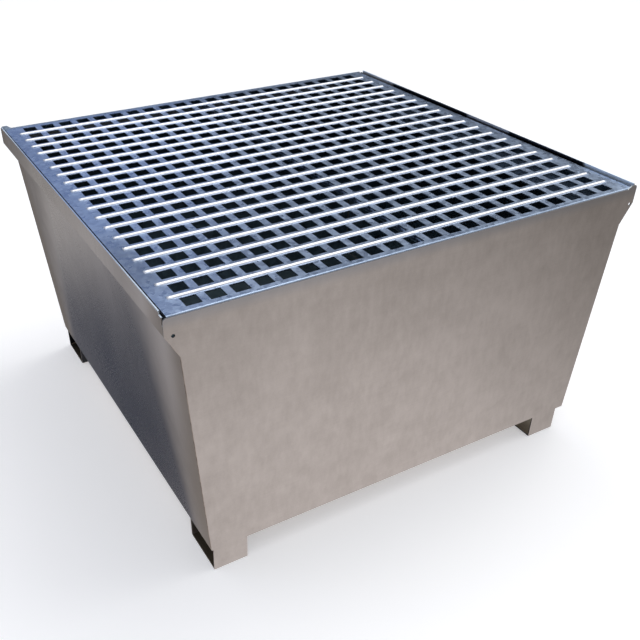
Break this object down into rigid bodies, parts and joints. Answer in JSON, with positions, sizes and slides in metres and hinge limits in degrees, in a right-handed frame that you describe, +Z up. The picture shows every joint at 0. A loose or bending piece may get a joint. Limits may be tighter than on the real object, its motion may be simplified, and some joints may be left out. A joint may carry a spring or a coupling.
{
  "type": "spill containment pallet",
  "caption": "Tapered sheet-metal sump on short fork-height feet, with a lift-off punched deck and half-round grip bars, that stands under containers and catches leaks.",
  "frame": {"origin": "centre of the footprint, on the floor", "axes": "+Z up, +X to the right along the front panel, +Y towards the back panel"},
  "size_m": [1.35, 1.36, 0.81],
  "materials": {
    "sump_steel": "mill finish, faintly brushed",
    "deck_zinc": "satin, hot-dip galvanised",
    "grip_steel": "bright, polished by wear"
  },
  "bodies": {
    "sump": {"front_panel": "sump_steel", "back_panel": "sump_steel", "left_wall": "sump_steel", "right_wall": "sump_steel", "floor_plate": "sump_steel", "foot_front_left": "sump_steel", "foot_front_right": "sump_steel", "foot_back_left": "sump_steel", "foot_back_right": "sump_steel"},
    "grating": {"deck_plate": "deck_zinc", "side_bar_left": "deck_zinc", "side_bar_right": "deck_zinc", "centre_tube": "deck_zinc", "grip_bar_01": "grip_steel", "grip_bar_02": "grip_steel", "grip_bar_03": "grip_steel", "grip_bar_04": "grip_steel", "grip_bar_05": "grip_steel", "grip_bar_06": "grip_steel", "grip_bar_07": "grip_steel", "grip_bar_08": "grip_steel", "grip_bar_09": "grip_steel", "grip_bar_10": "grip_steel", "grip_bar_11": "grip_steel", "grip_bar_12": "grip_steel", "grip_bar_13": "grip_steel", "grip_bar_14": "grip_steel", "grip_bar_15": "grip_steel", "grip_bar_16": "grip_steel", "grip_bar_17": "grip_steel", "grip_bar_18": "grip_steel", "grip_bar_19": "grip_steel"}
  },
  "joints": [
    {"name": "grating_lift", "type": "slide", "parent": "sump", "child": "grating", "axis": [0, 0, 1], "range_m": [0, 0.3]}
  ]
}
